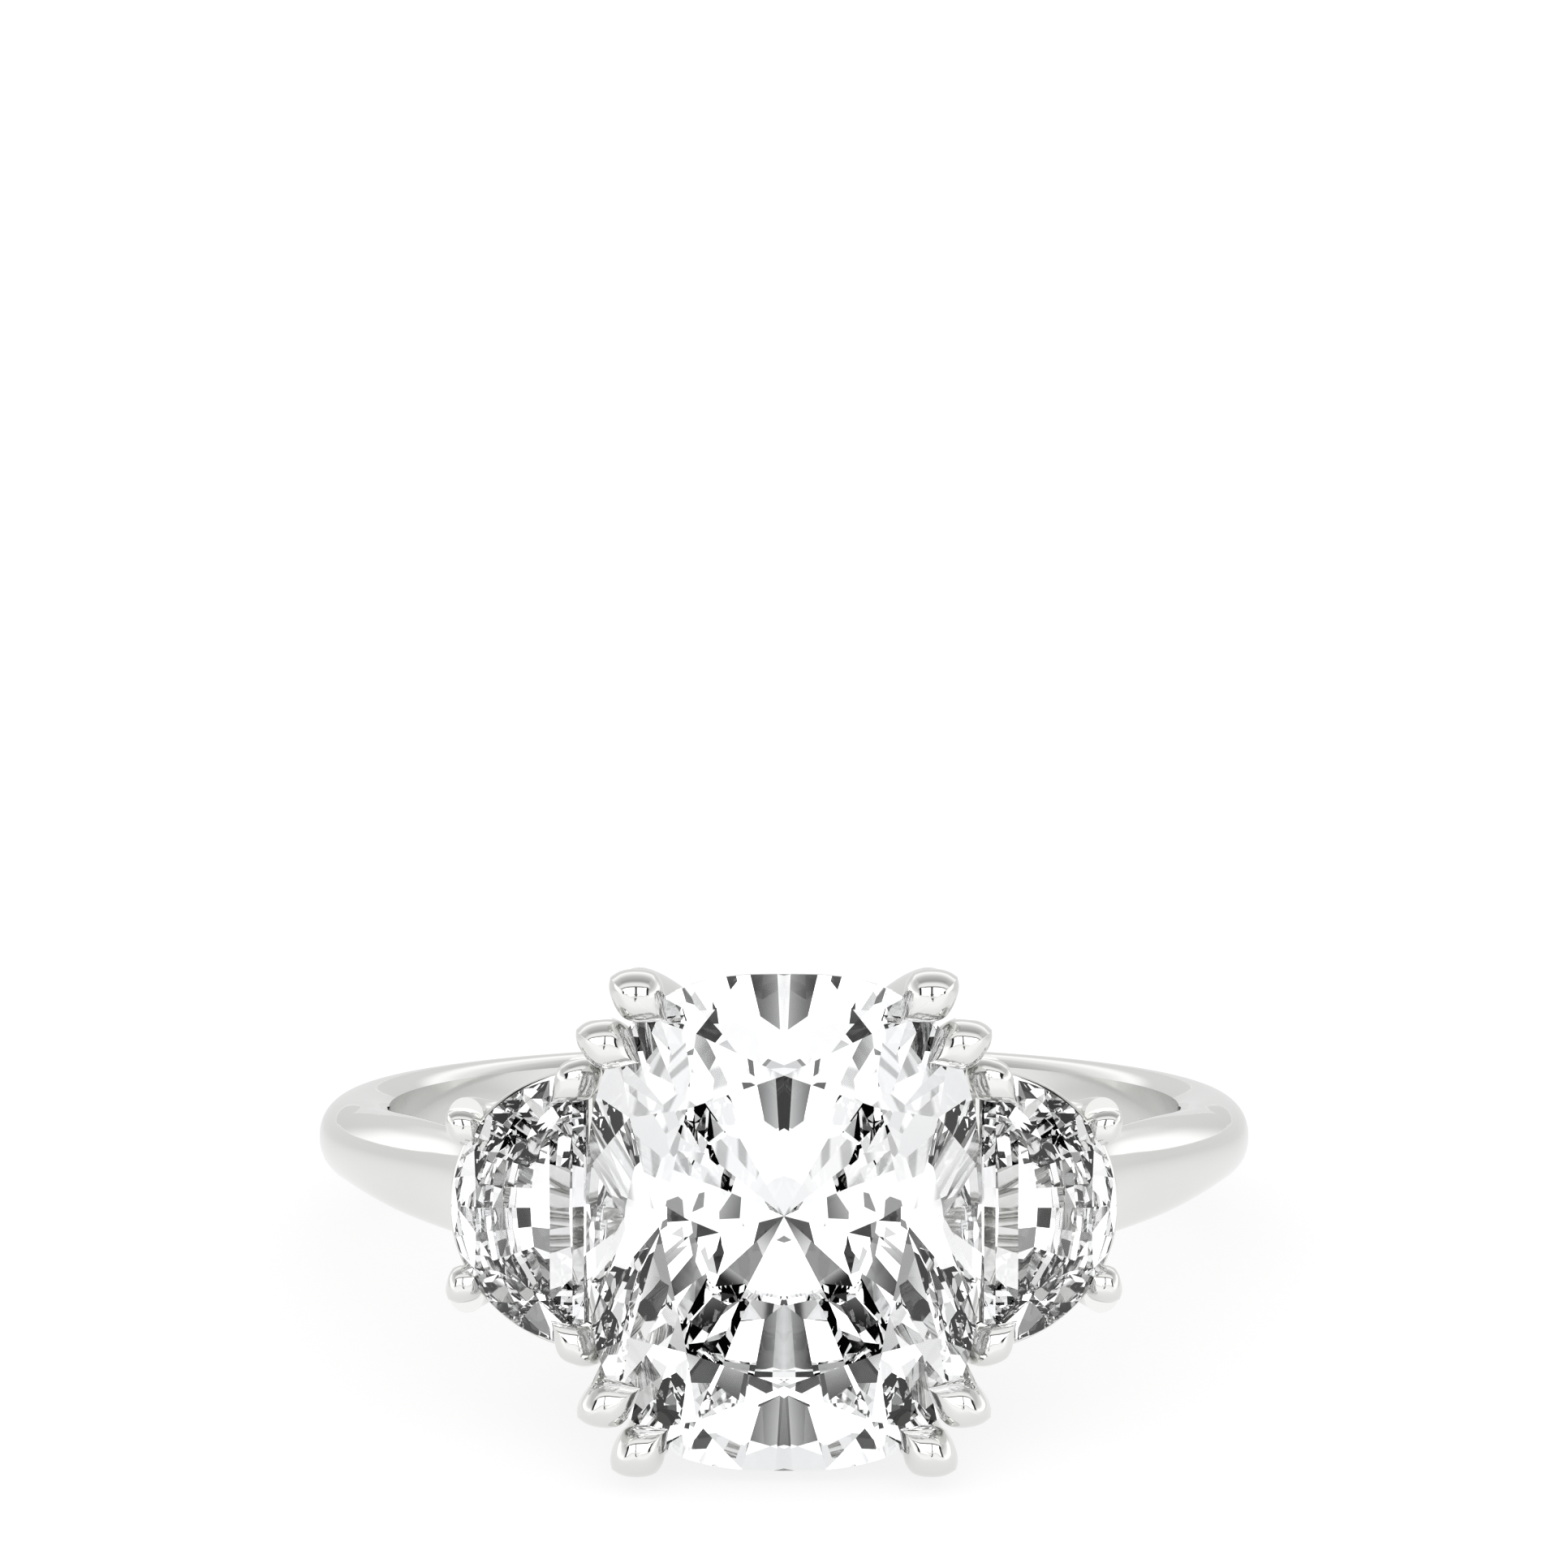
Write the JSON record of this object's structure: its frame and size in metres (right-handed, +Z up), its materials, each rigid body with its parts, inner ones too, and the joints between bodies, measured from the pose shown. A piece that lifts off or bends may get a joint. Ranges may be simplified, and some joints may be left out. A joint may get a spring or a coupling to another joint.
{
  "type": "three-stone engagement ring",
  "caption": "Polished metal ring on its side: an elongated cushion-cut stone between half-moon side stones, over shoulders that divide and cross like a trellis.",
  "frame": {"origin": "on the floor, under the middle of the box around the resting ring", "axes": "+Z up, -Y towards the side that the head faces, +X across the head; the finger hole's axis is upright but for the ring's lean of about 10 degrees"},
  "size_m": [0.0198, 0.0252, 0.0099],
  "materials": {
    "metal": "polished platinum or white gold",
    "diamond": "clear, faceted"
  },
  "bodies": {
    "root": {"mounting": "metal", "center_stone": "diamond", "side_stone_left": "diamond", "side_stone_right": "diamond"}
  },
  "joints": []
}
